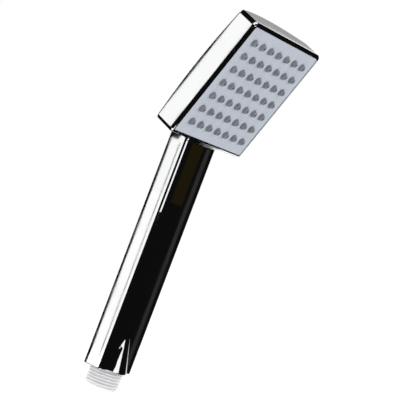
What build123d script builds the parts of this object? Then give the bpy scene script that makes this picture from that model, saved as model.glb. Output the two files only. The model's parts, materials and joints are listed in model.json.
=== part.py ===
from build123d import *
import math
import os

# A handheld shower head: a square head that leans forward from a straight bar handle.
# Millimetres. +Z runs up the handle, the spray face looks towards -Y.
# The origin is the centre of the hose thread's end face, where the hose washer seals.

# ---- driving dimensions -------------------------------------------------------------
# hose thread, G1/2 (parallel pipe thread, 14 turns to the inch)
thread_major_r = 20.955 / 2
thread_pitch = 25.4 / 14
thread_depth = 1.162
thread_turns = 6
inlet_bore_r = 6.5
inlet_bore_depth = 20.0

# handle: a flat-fronted bar with a crowned back
handle_end_z = 11.4
handle_half_width = 16.4
handle_front_y = -6.5
handle_side_back_y = 6.2
handle_back_y = 11.8
handle_front_corner_r = 1.8
handle_back_corner_r = 1.2
handle_top_z = 172.0
neck_z = 140.0
handle_wall = 2.0
handle_end_edge_r = 0.5
# the front swells round the thread at the lower end
swell_r = 12.2
swell_top_z = 36.0
swell_wall = 1.6

# head: a square slab with a crowned back, leaning forward
head_lean = 21.45
head_half = 40.0
head_corner_r = 2.5
head_foot_y = -9.25
head_foot_z = 155.62
head_side_depth = 15.8
head_crown_low = 11.0
head_crown_top = 7.0
head_back_sag = 1.8
head_wall = 2.2
head_rim = 2.1
head_front_edge_r = 2.05
head_back_edge_r = 1.2
neck_blend_r = 1.5

# spray face and nozzles
nozzle_rows = 7
nozzle_pitch = 9.617
nozzle_base_r = 2.35
nozzle_tip_r = 1.5
nozzle_reach = 1.9
nozzle_hole_r = 0.6
face_set_back = 0.3
face_thickness = 2.6
face_gap = 0.15
mat_thickness = 2.0
plate_thickness = 2.5
plate_half = 36.5
gasket_thickness = 0.8
chamber_wall = 2.0
part_gap = 0.4

# waterway up the handle
tube_r = 6.0
tube_bore_r = 4.2
tube_y = 2.75
boss_r = 8.0
spigot_start_z = 155.0
spigot_end_z = 165.5
spigot_r = 5.4
spigot_bore_r = 3.4
spigot_ring_low_z = 159.3
spigot_ring_high_z = 162.6
socket_r = 6.8
socket_start_z = 157.0
socket_end_z = 167.0

# check valve
valve_start_z = 3.0
valve_length = 14.0
valve_r = 6.3

# ring seals, collar and clip
ring_section_r = 0.5
ring_floor_r = 4.45
collar_bottom = 12.4
collar_top = 15.0
clip_bite = 0.7
clip_thickness = 1.0

# check valve details
seat_height = 3.2
seat_hole_r = 3.2
valve_inner_r = 4.7
valve_ring_floor_r = 5.4
valve_ring_z = 11.0
seal_thickness = 0.6
poppet_r = 4.2
stem_r = 1.0
stem_top_z = 14.9
cage_z = 13.6
cage_height = 1.6
spring_r = 2.4
spring_wire_r = 0.25
spring_turns = 5

# flow regulator and inlet filter
regulator_z = 17.2
regulator_height = 2.6
regulator_ring_r = 3.4
regulator_section_r = 0.75
filter_z = 0.9
filter_height = 1.9
screen_r = 5.7
screen_wire = 0.25
screen_step = 0.95

# screws and clamped edge of the chamber
screw_shank_r = 1.3
screw_head_r = 2.4
screw_head_height = 1.3
screw_tip = -13.0
screw_edge_distance = 3.6
screw_post_half = 3.2
gasket_band = 2.5
tab_width = 9.0
tab_depth = 4.5
tab_thickness = 0.8
low_end = (Align.CENTER, Align.CENTER, Align.MIN)

# ---- values worked out from those ----------------------------------------------------
lean = math.radians(head_lean)
face_up = Vector(0, -math.sin(lean), math.cos(lean))
face_normal = Vector(0, -math.cos(lean), -math.sin(lean))
face_centre = Vector(0, head_foot_y, head_foot_z) + face_up * head_half
head_plane = Plane(origin=face_centre, x_dir=(1, 0, 0), z_dir=face_normal)

thread_minor_r = thread_major_r - thread_depth
thread_length = thread_turns * thread_pitch

mat_top = -face_set_back - face_thickness
mat_bottom = mat_top - mat_thickness
plate_bottom = mat_bottom - plate_thickness
gasket_bottom = plate_bottom - gasket_thickness
screw_offset = plate_half - screw_edge_distance
face_half = head_half - head_rim - face_gap


# ---- helpers -------------------------------------------------------------------------
def in_head(shape):
    """Moves a shape from the head's own frame (X across, Y up the face, Z out of it)."""
    return head_plane.location * shape


def rod(radius, start, end, centre_y=0.0):
    """A plain cylinder about a line parallel to Z."""
    return Pos(0, centre_y, (start + end) / 2) * Cylinder(radius, end - start)


def tube_solid(outer_r, inner_r, start, end, centre_y=0.0):
    """A plain sleeve about a line parallel to Z."""
    return rod(outer_r, start, end, centre_y) - rod(inner_r, start - 1, end + 1, centre_y)


def o_ring(centre_r, section_r, z, centre_y=0.0):
    """A round-section rubber ring that lies level."""
    return Pos(0, centre_y, z) * Torus(centre_r, section_r)


def lathe(points):
    """Turns a closed outline of (radius, height) points about Z."""
    outline = make_face(Polyline([(r, 0, z) for r, z in points], close=True))
    return revolve(outline, Axis.Z)


def grid_places():
    """Nozzle centres on the face, in the head's own frame."""
    middle = (nozzle_rows - 1) / 2
    steps = [(i - middle) * nozzle_pitch for i in range(nozzle_rows)]
    return [(x, y) for x in steps for y in steps]


def screw_places():
    """The chamber's four corners, in the head's own frame."""
    return [(sx * screw_offset, sy * screw_offset) for sx in (-1, 1) for sy in (-1, 1)]


def screw_hole(x, y, bottom, gap):
    """A clearance hole for a chamber screw, open at the front (head frame)."""
    return Pos(x, y, bottom) * Cylinder(screw_shank_r + gap, head_half, align=low_end)


def back_space(inset):
    """Everything in front of the head's crowned back, moved in by inset (head frame).

    The back is an arc across the head. It curves gently up the head and its crown gets
    shallower towards the top.
    """
    reach = 70.0
    sections = []
    for step in (-1.5, -0.75, 0, 0.75, 1.5):
        y = step * head_half
        side = -(head_side_depth - inset - head_back_sag * step**2)
        middle = side - head_crown_low - (head_crown_top - head_crown_low) * (step + 1) / 2
        left = (-head_half, y, side)
        right = (head_half, y, side)
        crown = ThreePointArc(left, (0, y, middle), right)
        walls = Polyline(right, (head_half, y, reach), (-head_half, y, reach), left)
        sections.append(make_face(crown + walls))
    return loft(sections)


def head_prism(half, corner_r, top, bottom):
    """A square block with rounded corners (head frame)."""
    return Pos(0, 0, bottom) * extrude(RectangleRounded(2 * half, 2 * half, corner_r), top - bottom)


def head_block(inset, half, corner_r, top=0.0):
    """The slab of the head, its back moved in by inset (head frame)."""
    deep = head_side_depth + head_crown_low + 5
    return head_prism(half, corner_r, top, -deep) & back_space(inset)


def bar_section(inset):
    """Outline of the handle, moved in by inset: flat front and sides, crowned back."""
    x = handle_half_width - inset
    front = handle_front_y + inset
    side_back = handle_side_back_y - inset
    back = handle_back_y - inset
    walls = Polyline((-x, side_back), (-x, front), (x, front), (x, side_back))
    crown = ThreePointArc((x, side_back), (0, back), (-x, side_back))
    outline = make_face(walls + crown)
    front_corners = outline.vertices().filter_by(lambda v: v.Y < 0)
    outline = fillet(front_corners, max(handle_front_corner_r - inset, 0.4))
    back_corners = outline.vertices().filter_by(lambda v: abs(v.Y - side_back) < 0.01)
    return fillet(back_corners, max(handle_back_corner_r - inset, 0.4))


def bar(inset, start, end):
    """A length of the handle's section, from one height to another."""
    return Pos(0, 0, start) * extrude(bar_section(inset), end - start)


def swell(inset, start):
    """Front half of the cone that makes room for the round thread.

    Its top lies just inside the handle's front wall.
    """
    height = swell_top_z - handle_end_z
    lower = swell_r - inset
    upper = -handle_front_y - 0.6 - inset
    slope = (lower - upper) / height
    at_start = lower - slope * (start - handle_end_z)
    cone = Pos(0, 0, (start + swell_top_z) / 2) * Cone(at_start, upper, swell_top_z - start)
    return cone - Pos(0, swell_r - 2, swell_top_z / 2) * Box(3 * swell_r, 2 * swell_r, 2 * swell_top_z)


# ---- chromed shell -------------------------------------------------------------------
def neck_edges(shape):
    """The ring of edges where the handle meets the head's lower end."""
    found = []
    for edge in shape.edges():
        place = head_plane.to_local_coords(edge.center())
        on_lower_end = abs(place.Y + head_half) < 0.02
        on_handle = edge.length < 2.5 * handle_half_width
        inside = place.Z < -1 and abs(place.X) <= handle_half_width + 0.1
        if on_lower_end and on_handle and inside:
            found.append(edge)
    return found


def head_edges(shape, depth_from, depth_to):
    """Edges of the head that lie wholly within a band of depths behind the face."""
    found = []
    for edge in shape.edges():
        depths = [-head_plane.to_local_coords(edge @ t).Z for t in (0, 0.25, 0.5, 0.75, 1)]
        if min(depths) >= depth_from and max(depths) <= depth_to:
            found.append(edge)
    return found


def make_body_shell():
    """Head and handle in one moulding, open at the front of the head and below."""
    slab = head_block(0, head_half, head_corner_r)
    back_edges = [e for e in slab.edges() if e.length > head_half and e.center().Z < -10]
    slab = in_head(fillet(back_edges, head_back_edge_r))
    # above the neck the handle stops at the head's back
    handle = bar(0, handle_end_z, neck_z) + (bar(0, neck_z, handle_top_z) & in_head(back_space(0)))
    outside = slab + handle
    outside = fillet(neck_edges(outside), neck_blend_r)
    outside = fillet(head_edges(outside, -0.01, 0.01), head_front_edge_r)
    outside += swell(0, handle_end_z)
    outside = fillet(outside.faces().sort_by(Axis.Z)[0].outer_wire().edges(), handle_end_edge_r)
    mouth_half = head_half - head_rim
    outside -= in_head(head_block(head_wall, mouth_half, head_corner_r - 1))
    outside -= bar(handle_wall, handle_end_z, neck_z)
    outside -= bar(handle_wall, neck_z, handle_top_z) & in_head(back_space(head_wall))
    return outside - swell(swell_wall, handle_end_z)


# ---- waterway ------------------------------------------------------------------------
def thread_outline():
    """Ridges of the hose thread, from the end face up, with rounded-off flanks."""
    flank = thread_depth * math.tan(math.radians(27.5))
    crest = thread_pitch / 6
    points = [(thread_minor_r - 0.3, 0.0)]
    for turn in range(thread_turns):
        middle = (turn + 0.5) * thread_pitch
        points.append((thread_minor_r, middle - crest / 2 - flank))
        points.append((thread_major_r, middle - crest / 2))
        points.append((thread_major_r, middle + crest / 2))
        points.append((thread_minor_r, middle + crest / 2 + flank))
    points.append((thread_minor_r, thread_length))
    return points


def make_waterway():
    """The hose thread, valve housing and tube in one, ending in a spigot."""
    boss_end = inlet_bore_depth + 0.8
    bend_end = boss_end + 7
    outline = thread_outline() + [(boss_r, thread_length + 0.9), (boss_r, boss_end)]
    lower = lathe([(0, 0)] + outline + [(0, boss_end)])
    groove_z = collar_top + 0.3
    lower -= tube_solid(boss_r + 1, boss_r - clip_bite, groove_z, groove_z + clip_thickness + 0.1)
    start = Plane.XY.offset(boss_end)
    end = Plane(origin=(0, tube_y, bend_end))
    outside = lower + loft([start * Circle(boss_r), end * Circle(tube_r)])
    outside += rod(tube_r, bend_end, spigot_start_z, tube_y)
    outside += rod(spigot_r, spigot_start_z, spigot_end_z, tube_y)
    for z in (spigot_ring_low_z, spigot_ring_high_z):
        outside -= ring_groove(spigot_r, ring_floor_r, z, tube_y)
    throat = Plane.XY.offset(inlet_bore_depth)
    bore = rod(inlet_bore_r, 0, inlet_bore_depth)
    bore += loft([throat * Circle(inlet_bore_r - 1.5), end * Circle(tube_bore_r)])
    bore += rod(tube_bore_r, bend_end, spigot_start_z, tube_y)
    bore += rod(spigot_bore_r, spigot_start_z, spigot_end_z, tube_y)
    return outside - bore


def ring_groove(outer_r, floor_r, z, centre_y=0.0):
    """The groove for an O-ring, with a little room each side of it."""
    half = ring_section_r + 0.1
    return tube_solid(outer_r + 1, floor_r, z - half, z + half, centre_y)


def make_spigot_ring(z):
    return o_ring(ring_floor_r + ring_section_r + 0.02, ring_section_r, z, tube_y)


def make_end_collar():
    """Fills the handle's lower end round the inlet and carries the clip."""
    gap = 0.2
    height = collar_top - collar_bottom
    plate = bar(handle_wall + gap, collar_bottom, collar_top)
    layer = Pos(0, 0, collar_bottom + height / 2) * Box(4 * swell_r, 4 * swell_r, height)
    front = swell(swell_wall + gap, collar_bottom) & layer
    return plate + front - rod(boss_r + 0.1, 0, swell_top_z)


def make_collar_clip():
    """An open ring that snaps into the boss above the collar."""
    bottom = collar_top + 0.35
    ring = tube_solid(boss_r + 0.8, boss_r - clip_bite + 0.05, bottom, bottom + clip_thickness)
    return ring - Pos(0, boss_r, bottom) * Box(9, 8, 4 * clip_thickness)


# ---- check valve and regulator in the inlet ---------------------------------------------
def make_valve_body():
    """The cartridge sleeve, with the seat at its lower end and a ring groove outside."""
    top = valve_start_z + valve_length
    seat_top = valve_start_z + seat_height
    sleeve = lathe(
        [
            (seat_hole_r, valve_start_z),
            (valve_r, valve_start_z),
            (valve_r, top),
            (valve_inner_r, top),
            (valve_inner_r, seat_top),
            (seat_hole_r, seat_top),
        ]
    )
    return sleeve - ring_groove(valve_r, valve_ring_floor_r, valve_ring_z)


def make_valve_poppet():
    """Disc, stem and the groove that holds the poppet's seal. Water lifts it along +Z."""
    seat_top = valve_start_z + seat_height
    disc_bottom = seat_top + seal_thickness
    return lathe(
        [
            (0, seat_top - 0.8),
            (seat_hole_r - 0.6, seat_top - 0.8),
            (seat_hole_r - 0.3, disc_bottom),
            (poppet_r, disc_bottom),
            (poppet_r, disc_bottom + 1.1),
            (stem_r + 0.5, disc_bottom + 1.1),
            (stem_r, disc_bottom + 1.6),
            (stem_r, stem_top_z),
            (0, stem_top_z),
        ]
    )


def make_poppet_seal():
    """The flat washer under the poppet's disc that closes on the seat."""
    seat_top = valve_start_z + seat_height
    return tube_solid(poppet_r - 0.1, seat_hole_r - 0.25, seat_top + 0.02, seat_top + seal_thickness - 0.02)


def make_valve_cage():
    """Three spokes hold the hub that guides the stem and takes the spring's fixed end."""
    rim = tube_solid(valve_inner_r - 0.05, valve_inner_r - 1.0, cage_z, cage_z + cage_height)
    hub = tube_solid(stem_r + 1.9, stem_r + 0.06, cage_z, cage_z + cage_height)
    spoke_length = valve_inner_r - stem_r - 2.2
    for turn in range(3):
        spoke = Pos((stem_r + 1.6 + spoke_length / 2), 0, cage_z + cage_height / 2)
        hub += Rot(0, 0, 120 * turn) * (spoke * Box(spoke_length, 1.0, cage_height))
    return rim + hub


def make_valve_spring():
    """Round wire wound from the poppet's disc up to the cage."""
    seat = valve_start_z + seat_height + seal_thickness + 1.1
    start = seat + spring_wire_r + 0.02
    height = cage_z - spring_wire_r - 0.02 - start
    path = Helix(pitch=height / spring_turns, height=height, radius=spring_r)
    profile = Plane(origin=path @ 0, z_dir=path % 0) * Circle(spring_wire_r)
    return Pos(0, 0, start) * sweep(profile, path, is_frenet=True)


def make_flow_regulator():
    """A star-cored disc: its ring narrows the slots as the pressure rises."""
    z = regulator_z
    disc = tube_solid(valve_r - 0.05, 4.6, z, z + regulator_height)
    floor = Pos(0, 0, z + 0.5) * Cylinder(4.7, 1.0)
    for turn in range(8):
        floor -= Rot(0, 0, 45 * turn) * (Pos(3.6, 0, z + 0.5) * Cylinder(0.75, 2))
    core = Pos(0, 0, z + regulator_height / 2) * Cylinder(1.9, regulator_height)
    return disc + floor + core


# ---- inlet filter -------------------------------------------------------------------------
def make_filter_ring():
    """A push-in ring with a groove inside for the screen's edge."""
    ring = tube_solid(valve_r - 0.05, screen_r - 0.5, filter_z, filter_z + filter_height)
    groove = tube_solid(screen_r + 0.05, screen_r - 1, filter_z + 0.6, filter_z + 0.6 + 2 * screen_wire)
    return ring - groove


def make_filter_screen():
    """Crossed steel wires, cut round to sit in the filter ring's groove."""
    middle = filter_z + 0.6 + screen_wire
    across = int(screen_r / screen_step)
    wires = None
    for i in range(-across, across + 1):
        half = math.sqrt(screen_r**2 - (i * screen_step) ** 2)
        for turn in (0, 90):
            wire = Pos(i * screen_step, 0, middle) * Box(screen_wire, 2 * half, 2 * screen_wire - 0.04)
            wires = Rot(0, 0, turn) * wire if wires is None else wires + Rot(0, 0, turn) * wire
    return wires & Pos(0, 0, middle) * Cylinder(screen_r, 2)


# ---- water chamber in the head -----------------------------------------------------------
def make_chamber_back():
    """The curved housing behind the nozzles, with the socket for the waterway."""
    inset = head_wall + part_gap
    outside = in_head(head_block(inset, plate_half, 1.5, gasket_bottom))
    in_front = Pos(0, 0, head_half + gasket_bottom) * Box(4 * head_half, 4 * head_half, 2 * head_half)
    socket = rod(socket_r, socket_start_z, socket_end_z, tube_y)
    socket &= in_head(back_space(inset) - in_front)
    inner_half = plate_half - gasket_band
    inside = in_head(head_block(inset + chamber_wall, inner_half, 1.0, gasket_bottom))
    housing = outside + socket - inside
    for x, y in screw_places():
        post = head_prism(screw_post_half, screw_post_half - 0.1, gasket_bottom, -head_side_depth - 10)
        post = in_head(Pos(x, y, 0) * post & head_block(inset + 0.5, plate_half - 0.5, 1.0))
        housing += post
    housing -= rod(spigot_r + 0.08, socket_start_z - 1, socket_end_z, tube_y)
    for x, y in screw_places():
        housing -= in_head(screw_hole(x, y, screw_tip - 0.3, 0.02))
    return housing


def make_chamber_gasket():
    """A flat rubber frame between the housing and the spray plate."""
    band = head_prism(plate_half - 0.2, 1.4, plate_bottom, gasket_bottom)
    window = head_prism(plate_half - gasket_band + 0.2, 1.0, plate_bottom + 1, gasket_bottom - 1)
    gasket = band - window
    for x, y in screw_places():
        gasket -= screw_hole(x, y, gasket_bottom - 1, 0.15)
    return in_head(gasket)


def make_spray_plate():
    """Spreads the water: one channel behind each nozzle."""
    plate = head_prism(plate_half, 1.5, mat_bottom, plate_bottom)
    for x, y in grid_places():
        plate -= Pos(x, y, plate_bottom - 1) * Cylinder(1.5, 5, align=low_end)
    for x, y in screw_places():
        plate -= screw_hole(x, y, plate_bottom - 1, 0.15)
        head_pocket = Cylinder(screw_head_r + 0.15, 2, align=low_end)
        plate -= Pos(x, y, mat_bottom - screw_head_height - 0.05) * head_pocket
    return in_head(plate)


def make_chamber_screws():
    """Four pan-head screws that clamp the spray plate and gasket to the housing."""
    screws = []
    for x, y in screw_places():
        head_low = mat_bottom - screw_head_height
        screw = Pos(0, 0, screw_tip) * Cylinder(screw_shank_r, head_low - screw_tip + 0.2, align=low_end)
        screw += Pos(0, 0, head_low) * Cylinder(screw_head_r, screw_head_height - 0.05, align=low_end)
        for turn in (0, 90):
            screw -= Pos(0, 0, mat_bottom) * Rot(0, 0, turn) * Box(2.6, 0.6, 1.2)
        screws.append(in_head(Pos(x, y, 0) * screw))
    return Compound(children=screws)


def nozzle_cone():
    """One nozzle: a tapered stub with a rounded tip and a fine jet hole."""
    base = mat_top - 0.5
    tip = nozzle_reach
    outline = [
        (nozzle_hole_r, base),
        (nozzle_base_r, base),
        (nozzle_base_r, -face_set_back + 0.1),
        (nozzle_tip_r + 0.25, tip - 0.5),
        (nozzle_tip_r, tip - 0.12),
        (nozzle_tip_r - 0.2, tip),
        (nozzle_hole_r + 0.15, tip),
        (nozzle_hole_r, tip - 0.3),
    ]
    return lathe(outline)


def make_nozzle_mat():
    """One rubber mat with a nozzle for each hole of the spray face."""
    mat = head_prism(plate_half - 0.3, 1.4, mat_top, mat_bottom)
    for x, y in grid_places():
        mat -= Pos(x, y, mat_bottom - 1) * Cylinder(nozzle_hole_r, 4, align=low_end)
    cone = nozzle_cone()
    stubs = [Pos(x, y, 0) * cone for x, y in grid_places()]
    return in_head(mat.fuse(*stubs))


def make_spray_face():
    """The square cover with a hole round every nozzle and four snap tabs behind it."""
    plate = head_prism(face_half, head_corner_r - 1 - face_gap, -face_set_back, mat_top)
    edges = [e for e in plate.edges() if abs(e.center().Z + face_set_back) < 0.01]
    plate = fillet(edges, 0.35)
    for x, y in grid_places():
        plate -= Pos(x, y, mat_top - 1) * Cylinder(nozzle_base_r + 0.08, 6, align=low_end)
    tab_x = face_half - tab_thickness / 2 - 0.15
    tab = Pos(tab_x, 0, mat_top - tab_depth / 2) * Box(tab_thickness, tab_width, tab_depth)
    for turn in range(4):
        plate += Rot(0, 0, 90 * turn) * tab
    return in_head(plate)


# ---- write one file for each piece ---------------------------------------------------------
pieces = {
    "body_shell": make_body_shell(),
    "waterway": make_waterway(),
    "end_collar": make_end_collar(),
    "collar_clip": make_collar_clip(),
    "spigot_ring_lower": make_spigot_ring(spigot_ring_low_z),
    "spigot_ring_upper": make_spigot_ring(spigot_ring_high_z),
    "chamber_back": make_chamber_back(),
    "chamber_gasket": make_chamber_gasket(),
    "spray_plate": make_spray_plate(),
    "chamber_screws": make_chamber_screws(),
    "nozzle_mat": make_nozzle_mat(),
    "spray_face": make_spray_face(),
    "valve_body": make_valve_body(),
    "valve_poppet": make_valve_poppet(),
    "poppet_seal": make_poppet_seal(),
    "valve_spring": make_valve_spring(),
    "valve_cage": make_valve_cage(),
    "valve_ring": o_ring(valve_ring_floor_r + ring_section_r + 0.04, ring_section_r, valve_ring_z),
    "flow_regulator": make_flow_regulator(),
    "regulator_ring": o_ring(regulator_ring_r, regulator_section_r, regulator_z + 1.8),
    "filter_ring": make_filter_ring(),
    "filter_screen": make_filter_screen(),
}
os.makedirs("parts", exist_ok=True)
for name, shape in pieces.items():
    export_step(shape, f"parts/{name}.step")
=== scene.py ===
import json
import math

import bpy
from mathutils import Matrix, Vector


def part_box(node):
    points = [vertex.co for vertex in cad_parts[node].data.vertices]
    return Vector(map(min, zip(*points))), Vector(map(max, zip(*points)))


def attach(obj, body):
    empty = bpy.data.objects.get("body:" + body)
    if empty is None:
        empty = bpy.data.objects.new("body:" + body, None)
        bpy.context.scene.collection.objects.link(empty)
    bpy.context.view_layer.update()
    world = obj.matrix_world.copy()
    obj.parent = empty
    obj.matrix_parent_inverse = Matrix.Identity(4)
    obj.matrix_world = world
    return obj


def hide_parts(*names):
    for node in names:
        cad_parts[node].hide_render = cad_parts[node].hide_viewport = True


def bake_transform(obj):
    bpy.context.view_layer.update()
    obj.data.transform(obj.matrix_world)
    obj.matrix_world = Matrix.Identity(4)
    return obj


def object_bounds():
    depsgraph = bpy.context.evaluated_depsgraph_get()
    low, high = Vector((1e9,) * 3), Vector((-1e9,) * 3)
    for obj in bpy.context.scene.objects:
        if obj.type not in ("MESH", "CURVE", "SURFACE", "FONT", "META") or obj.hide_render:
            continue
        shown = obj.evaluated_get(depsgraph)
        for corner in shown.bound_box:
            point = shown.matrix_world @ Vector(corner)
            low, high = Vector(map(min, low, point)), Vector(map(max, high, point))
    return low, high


# A handheld shower head in chromed plastic, on a plain white stage.
# Metres, in the CAD frame: +Z runs up the handle and the spray face looks towards -Y.

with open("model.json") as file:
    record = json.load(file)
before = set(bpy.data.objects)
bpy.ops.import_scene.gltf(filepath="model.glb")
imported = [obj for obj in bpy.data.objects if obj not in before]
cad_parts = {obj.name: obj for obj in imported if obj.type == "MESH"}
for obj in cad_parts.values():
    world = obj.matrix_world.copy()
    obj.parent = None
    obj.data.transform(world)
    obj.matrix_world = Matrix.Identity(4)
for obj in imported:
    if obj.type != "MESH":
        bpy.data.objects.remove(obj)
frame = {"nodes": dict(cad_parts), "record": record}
cad_low, cad_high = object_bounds()
nodes = frame["nodes"]
MM = 0.001


# ---- small helpers ------------------------------------------------------------------
def grey(level):
    return (level, level, level)


def mesh_object(name, points, faces):
    """A smooth-shaded mesh object from its points and faces."""
    mesh = bpy.data.meshes.new(name)
    mesh.from_pydata(points, [], faces)
    mesh.polygons.foreach_set("use_smooth", [True] * len(faces))
    mesh.update()
    obj = bpy.data.objects.new(name, mesh)
    bpy.context.scene.collection.objects.link(obj)
    return obj


def ring_skin(rings, closed=False):
    """Faces that join rows of equal length, each row a closed ring of points."""
    around = len(rings[0])
    points = [p for ring in rings for p in ring]
    faces = []
    last = len(rings) if closed else len(rings) - 1
    for row in range(last):
        low = row * around
        high = ((row + 1) % len(rings)) * around
        for i in range(around):
            j = (i + 1) % around
            faces.append((low + i, low + j, high + j, high + i))
    return points, faces


# ---- materials ------------------------------------------------------------------------
def link(tree, source, target):
    tree.links.new(source, target)


def noise(tree, scale, detail=3.0, stretch=(1, 1, 1)):
    """A noise texture in object space; scale is in features per metre."""
    coords = tree.nodes.new("ShaderNodeTexCoord")
    mapping = tree.nodes.new("ShaderNodeMapping")
    mapping.inputs["Scale"].default_value = stretch
    texture = tree.nodes.new("ShaderNodeTexNoise")
    texture.inputs["Scale"].default_value = scale
    texture.inputs["Detail"].default_value = detail
    link(tree, coords.outputs["Object"], mapping.inputs["Vector"])
    link(tree, mapping.outputs["Vector"], texture.inputs["Vector"])
    return texture.outputs["Fac"]


def spread(tree, value, low, high):
    """Maps the middle of a noise onto a range of values."""
    ranged = tree.nodes.new("ShaderNodeMapRange")
    ranged.inputs["From Min"].default_value = 0.3
    ranged.inputs["From Max"].default_value = 0.7
    ranged.inputs["To Min"].default_value = low
    ranged.inputs["To Max"].default_value = high
    link(tree, value, ranged.inputs["Value"])
    return ranged.outputs["Result"]


def two_tints(tree, value, first, second):
    """Blends two close colours by a noise."""
    ramp = tree.nodes.new("ShaderNodeValToRGB")
    ramp.color_ramp.elements[0].position = 0.3
    ramp.color_ramp.elements[0].color = (*first, 1)
    ramp.color_ramp.elements[1].position = 0.7
    ramp.color_ramp.elements[1].color = (*second, 1)
    link(tree, value, ramp.inputs["Fac"])
    return ramp.outputs["Color"]


def new_material(name):
    material = bpy.data.materials.new(name)
    material.use_nodes = True
    tree = material.node_tree
    return material, tree, tree.nodes["Principled BSDF"]


def add_bump(tree, shader, height, distance):
    bump = tree.nodes.new("ShaderNodeBump")
    bump.inputs["Strength"].default_value = 1.0
    bump.inputs["Distance"].default_value = distance
    link(tree, height, bump.inputs["Height"])
    link(tree, bump.outputs["Normal"], shader.inputs["Normal"])


def surface(name, tints, tint_scale, roughness, grain_scale, grain_depth, metallic=0.0, stretch=(1, 1, 1)):
    """A material with two close tints, uneven gloss and a fine grain."""
    material, tree, shader = new_material(name)
    shader.inputs["Metallic"].default_value = metallic
    tint = two_tints(tree, noise(tree, tint_scale), *tints)
    link(tree, tint, shader.inputs["Base Color"])
    gloss = spread(tree, noise(tree, tint_scale * 3, 4.0, stretch), *roughness)
    link(tree, gloss, shader.inputs["Roughness"])
    add_bump(tree, shader, noise(tree, grain_scale, 2.0, stretch), grain_depth)
    return material, shader


def make_chrome():
    """Bright plating on moulded plastic: a mirror with the faint waviness of the moulding."""
    tints = ((0.93, 0.935, 0.942), (0.965, 0.968, 0.97))
    return surface("chromed_plastic", tints, 25, (0.012, 0.035), 45, 0.004 * MM, metallic=1.0)[0]


def make_face_plastic():
    """The spray face: smooth satin plastic, pale blue-grey."""
    tints = ((0.415, 0.448, 0.505), (0.437, 0.468, 0.525))
    return surface("pale_grey_plastic", tints, 60, (0.34, 0.46), 3500, 0.012 * MM)[0]


def make_nozzle_rubber():
    """Silicone nozzles: soft, matte and a darker grey than the face."""
    tints = ((0.16, 0.17, 0.195), (0.21, 0.22, 0.25))
    material, shader = surface("grey_rubber", tints, 400, (0.42, 0.6), 2500, 0.02 * MM)
    shader.inputs["Subsurface Weight"].default_value = 0.06
    shader.inputs["Subsurface Radius"].default_value = (1, 1, 1)
    shader.inputs["Subsurface Scale"].default_value = 0.4 * MM
    return material


def make_white_plastic():
    """Natural white moulding: translucent, with flow marks along the part."""
    tints = ((0.635, 0.635, 0.643), (0.67, 0.67, 0.678))
    along = (1, 1, 0.25)
    material, shader = surface("white_plastic", tints, 120, (0.28, 0.44), 1800, 0.02 * MM, stretch=along)
    shader.inputs["Subsurface Weight"].default_value = 1.0
    shader.inputs["Subsurface Radius"].default_value = (1, 1, 1)
    shader.inputs["Subsurface Scale"].default_value = 2.5 * MM
    return material


def make_black_rubber():
    tints = ((0.018, 0.018, 0.019), (0.035, 0.035, 0.036))
    return surface("black_rubber", tints, 500, (0.5, 0.7), 4000, 0.015 * MM)[0]


def make_blue_plastic():
    tints = ((0.1, 0.24, 0.47), (0.13, 0.28, 0.53))
    return surface("blue_plastic", tints, 200, (0.2, 0.34), 2500, 0.01 * MM)[0]


def make_steel():
    """Drawn wire and cold-headed screws: fine lines along one direction."""
    tints = ((0.56, 0.56, 0.57), (0.66, 0.66, 0.665))
    return surface("spring_steel", tints, 700, (0.18, 0.34), 3000, 0.008 * MM, 1.0, (1, 1, 0.15))[0]


makers = {
    "chromed_plastic": make_chrome,
    "white_plastic": make_white_plastic,
    "pale_grey_plastic": make_face_plastic,
    "grey_rubber": make_nozzle_rubber,
    "black_rubber": make_black_rubber,
    "blue_plastic": make_blue_plastic,
    "spring_steel": make_steel,
}
materials = {slot: make() for slot, make in makers.items()}
for part in frame["record"]["subparts"]:
    node = nodes[part["node"]]
    node.data.materials.clear()
    node.data.materials.append(materials[part["material_slot"]])


# ---- waterway with its hose thread --------------------------------------------------------
AROUND = 96
ROWS_PER_TURN = 12
MAJOR_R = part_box("waterway")[1].x
PITCH = 25.4 / 14 * MM
TURNS = 6
DEPTH = 1.162 * MM
# of one pitch: half the flat crest, then the flank down to the root
CREST_SHARE = 0.083
FLANK_SHARE = 0.334
ROUNDING = 1.15


def thread_radius(z, angle):
    """Radius of the right-hand thread at a height and angle, fading out at both ends."""
    phase = (z / PITCH - angle / math.tau) % 1
    down_flank = min(max((abs(phase - 0.5) - CREST_SHARE) / FLANK_SHARE, 0), 1)
    lead_in = min(max(z / (0.9 * PITCH), 0), 1)
    run_out = min(max((TURNS * PITCH - z) / (0.5 * PITCH), 0), 1)
    ridge = (1 - down_flank) ** ROUNDING
    return MAJOR_R - DEPTH + DEPTH * ridge * min(lead_in, run_out)


def thread_rings():
    """Rows of points up the threaded part."""
    rows = []
    for step in range(TURNS * ROWS_PER_TURN + 1):
        z = step * PITCH / ROWS_PER_TURN
        row = []
        for i in range(AROUND):
            angle = math.tau * i / AROUND
            r = thread_radius(z, angle)
            row.append((r * math.cos(angle), r * math.sin(angle), z))
        rows.append(row)
    return rows


def plain_ring(radius, z, centre_y=0.0):
    turn = math.tau / AROUND
    return [(radius * math.cos(i * turn), centre_y + radius * math.sin(i * turn), z) for i in range(AROUND)]


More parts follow.
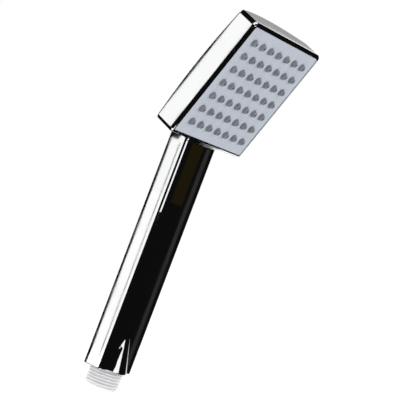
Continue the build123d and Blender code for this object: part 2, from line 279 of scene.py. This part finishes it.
def make_waterway():
    """Thread, valve housing, tube and spigot as one moulded skin, closed at both ends."""
    tube_y = 2.75 * MM
    # (radius, height, 1 where the tube is centred on tube_y) in millimetres: up the outside, down the bore
    lip = [plain_ring(MAJOR_R - DEPTH - 0.7 * MM, 0), plain_ring(MAJOR_R - DEPTH - 0.3 * MM, 0)]
    upper = [
        (8.0, 11.8, 0), (8.0, 15.3, 0), (7.3, 15.35, 0), (7.3, 16.35, 0), (8.0, 16.4, 0), (8.0, 20.8, 0),
        (6.0, 27.8, 1), (6.0, 155.0, 1), (5.4, 155.05, 1), (5.4, 165.5, 1),
        (3.4, 165.5, 1), (3.4, 155.0, 1), (4.2, 154.9, 1), (4.2, 27.8, 1),
        (5.0, 20.05, 0), (6.5, 20.0, 0), (6.5, 0.5, 0),
    ]
    rest = [plain_ring(r * MM, z * MM, tube_y * offset) for r, z, offset in upper]
    points, faces = ring_skin(lip + thread_rings() + rest, closed=True)
    obj = mesh_object("inlet_and_waterway", points, faces)
    obj.data.materials.append(materials["white_plastic"])
    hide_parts("waterway")
    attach(obj, "handset")


make_waterway()


# ---- valve spring ---------------------------------------------------------------------------
def make_spring():
    """Round wire wound from the poppet's disc up to the cage."""
    low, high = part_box("valve_spring")
    wire_r = 0.25 * MM
    coil_r = high.x - wire_r
    start = low.z + wire_r
    height = high.z - low.z - 2 * wire_r
    turns = 5
    steps = turns * 32
    wire_sides = 10
    rings = []
    for step in range(steps + 1):
        angle = math.tau * turns * step / steps
        out = Vector((math.cos(angle), math.sin(angle), 0))
        centre = out * coil_r + Vector((0, 0, start + height * step / steps))
        ring = []
        for i in range(wire_sides):
            turn = math.tau * i / wire_sides
            ring.append(centre + (out * math.cos(turn) + Vector((0, 0, math.sin(turn)))) * wire_r)
        rings.append([tuple(p) for p in ring])
    points, faces = ring_skin(rings)
    faces.append(tuple(reversed(range(wire_sides))))
    faces.append(tuple(range(len(points) - wire_sides, len(points))))
    obj = mesh_object("return_spring", points, faces)
    obj.data.materials.append(materials["spring_steel"])
    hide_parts("valve_spring")
    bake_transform(obj)


make_spring()


# ---- stage: floor, reflectors, light ----------------------------------------------------------
FLOOR_Z = cad_low.z - 0.12


def glow_material(name, shade):
    material = bpy.data.materials.new(name)
    material.use_nodes = True
    tree = material.node_tree
    tree.nodes.remove(tree.nodes["Principled BSDF"])
    glow = tree.nodes.new("ShaderNodeEmission")
    glow.inputs["Color"].default_value = (*shade, 1)
    link(tree, glow.outputs["Emission"], tree.nodes["Material Output"].inputs["Surface"])
    return material


def floor():
    """A broad pale floor a little below the inlet."""
    half = 8.0
    corners = [(-half, -half, FLOOR_Z), (half, -half, FLOOR_Z), (half, half, FLOOR_Z), (-half, half, FLOOR_Z)]
    obj = mesh_object("floor", corners, [(0, 1, 2, 3)])
    tints = (grey(0.86), grey(0.88))
    material, shader = surface("floor", tints, 3, (0.8, 0.9), 300, 0.05 * MM)
    shader.inputs["Emission Color"].default_value = (1, 1, 1, 1)
    shader.inputs["Emission Strength"].default_value = 0.16
    obj.data.materials.append(material)


def only_in_mirrors(obj, shade):
    """Reflectors and flags show in the chrome alone, so they cast no shade."""
    obj.data.materials.append(glow_material(obj.name, shade))
    for ray in ("visible_camera", "visible_diffuse", "visible_shadow", "visible_transmission"):
        setattr(obj, ray, False)


def flat_card(name, outline, z, shade):
    """A level card over or under the handset."""
    corners = [(x, y, z) for x, y in outline]
    only_in_mirrors(mesh_object(name, corners, [tuple(range(len(corners)))]), shade)


def sector(start, end, inner, outer):
    """Outline of a ring's part between two angles, in degrees from +X towards +Y."""
    steps = 12
    angles = [math.radians(start + (end - start) * i / steps) for i in range(steps + 1)]
    near = [(inner * math.cos(a), inner * math.sin(a)) for a in angles]
    far = [(outer * math.cos(a), outer * math.sin(a)) for a in reversed(angles)]
    return near + far


def panel(name, left, right, shade, radius=0.45):
    """A curved reflector that stands round the handset, as seen in its mirror image.

    left and right are its two upright edges: (angle below, height below, angle above, height above),
    with angles in degrees from +X towards +Y.
    """
    steps = 16
    points = []
    for i in range(steps + 1):
        t = i / steps
        edge = [a + (b - a) * t for a, b in zip(left, right)]
        for angle, z in ((edge[0], edge[1]), (edge[2], edge[3])):
            turn = math.radians(angle)
            points.append((radius * math.cos(turn), radius * math.sin(turn), z))
    faces = [(2 * i, 2 * i + 2, 2 * i + 3, 2 * i + 1) for i in range(steps)]
    only_in_mirrors(mesh_object(name, points, faces), shade)


def upright(name, start, end, low, high, shade, radius=0.45):
    """A plain panel between two angles and two heights."""
    panel(name, (start, low, start, high), (end, low, end, high), shade, radius)


DARK = (0.004, 0.004, 0.0045)


def make_flags():
    """The dark shapes that the chrome mirrors: without them it would be white all over."""
    low = FLOOR_Z + 0.001
    upright("flag_front", -72, -13.5, low, 0.62, DARK)
    upright("flag_front_edge", -13.5, 12, 0.38, 0.62, DARK)
    upright("flag_low", -203, -72, low, 0.095, DARK)
    upright("flag_rim", -203, -131, 0.095, 0.34, DARK)
    panel("flag_swell", (-131, 0.16, -131, 0.62), (-72, 0.182, -72, 0.62), DARK, 0.452)
    upright("flag_beside_handle", 148.3, 158, low, 0.157, DARK)
    upright("flag_back", 96, 146.37, low, 0.157, DARK)
    panel("flag_back_upper", (96, 0.157, 96, 0.42), (147.05, 0.157, 157.9, 0.42), DARK)
    panel("flag_beside_head", (148.95, 0.157, 154.8, 0.300), (158, 0.157, 166, 0.300), DARK)
    upright("flag_above_head", 150, 166, 0.300, 0.90, DARK)
    upright("flag_above_top", 18, 38, 0.405, 0.95, DARK)
    flat_card("flag_over", [(-0.62, -0.02), (-0.62, 0.42), (0.62, 0.42), (0.62, -0.02)], 0.72, DARK)
    flat_card("flag_under_front", sector(-72, 14, 0.02, 0.45), low, DARK)
    flat_card("flag_under_back", sector(58, 203, 0.02, 0.45), low, DARK)


def make_panels():
    """The bright and grey shapes that the chrome mirrors, each named for what shows it.

    The one dark shape among them edges the head's top side.
    """
    upright("panel_handle_line", 147.33, 147.43, -0.040, 0.155, grey(0.12), 0.449)
    upright("panel_swell_edge", -13.5, -2, -0.02, 0.38, grey(0.05))
    upright("panel_right_rim", -2, 36, -0.02, 0.34, grey(0.75))
    upright("panel_low_rim", 12, 40, -0.08, -0.02, grey(0.5))
    panel("panel_top_side", (18.5, 0.350, 29.8, 0.405), (36, 0.350, 36, 0.405), grey(0.34))
    panel("flag_top_rim", (5, 0.345, 5, 0.52), (18.5, 0.345, 29.8, 0.52), DARK, 0.452)
    upright("panel_front_strip", -33.35, -32.95, -0.08, 0.2, grey(0.026), 0.448)
    upright("panel_front_tint", -35.0, -33.75, 0.105, 0.17, (0.012, 0.009, 0.003), 0.448)


def soft_light(name, place, aim, size, power):
    """A large soft panel that lights without showing in the chrome."""
    data = bpy.data.lights.new(name, "AREA")
    data.shape = "SQUARE"
    data.size = size
    data.energy = power
    obj = bpy.data.objects.new(name, data)
    obj.location = place
    obj.rotation_mode = "QUATERNION"
    obj.rotation_quaternion = (Vector(aim) - Vector(place)).to_track_quat("-Z", "Y")
    obj.visible_glossy = False
    bpy.context.scene.collection.objects.link(obj)


floor()
make_flags()
make_panels()
soft_light("light_right", (0.7, -1.0, 0.5), (0, 0, 0.15), 0.6, 5)
soft_light("light_left", (-1.1, 0.35, 0.1), (0, 0, 0.05), 0.5, 4)

world = bpy.data.worlds.new("studio")
bpy.context.scene.world = world
world.use_nodes = True
sky = world.node_tree.nodes["Background"]
sky.inputs["Color"].default_value = (1, 1, 1, 1)
sky.inputs["Strength"].default_value = 1.0
bpy.context.scene.view_settings.view_transform = "Standard"


# ---- camera -------------------------------------------------------------------------------------
def make_camera():
    """A long lens level with the head, turned so that the handset leans to the right."""
    azimuth = math.radians(-57.24)
    elevation = math.radians(1.162)
    roll = math.radians(20.84)
    distance = 1.03
    aim = Vector((9.94, -12.66, 124.6)) * MM
    level = math.cos(elevation)
    back = Vector((math.sin(azimuth) * level, -math.cos(azimuth) * level, math.sin(elevation)))
    data = bpy.data.cameras.new("camera")
    data.lens = 155.8
    data.sensor_width = 36
    data.clip_end = 100
    obj = bpy.data.objects.new("camera", data)
    obj.rotation_mode = "QUATERNION"
    facing = (-back).to_track_quat("-Z", "Y")
    turn = Matrix.Rotation(roll, 4, "Z").to_quaternion()
    obj.rotation_quaternion = facing @ turn
    obj.location = aim + back * distance
    bpy.context.scene.collection.objects.link(obj)
    bpy.context.scene.camera = obj


make_camera()
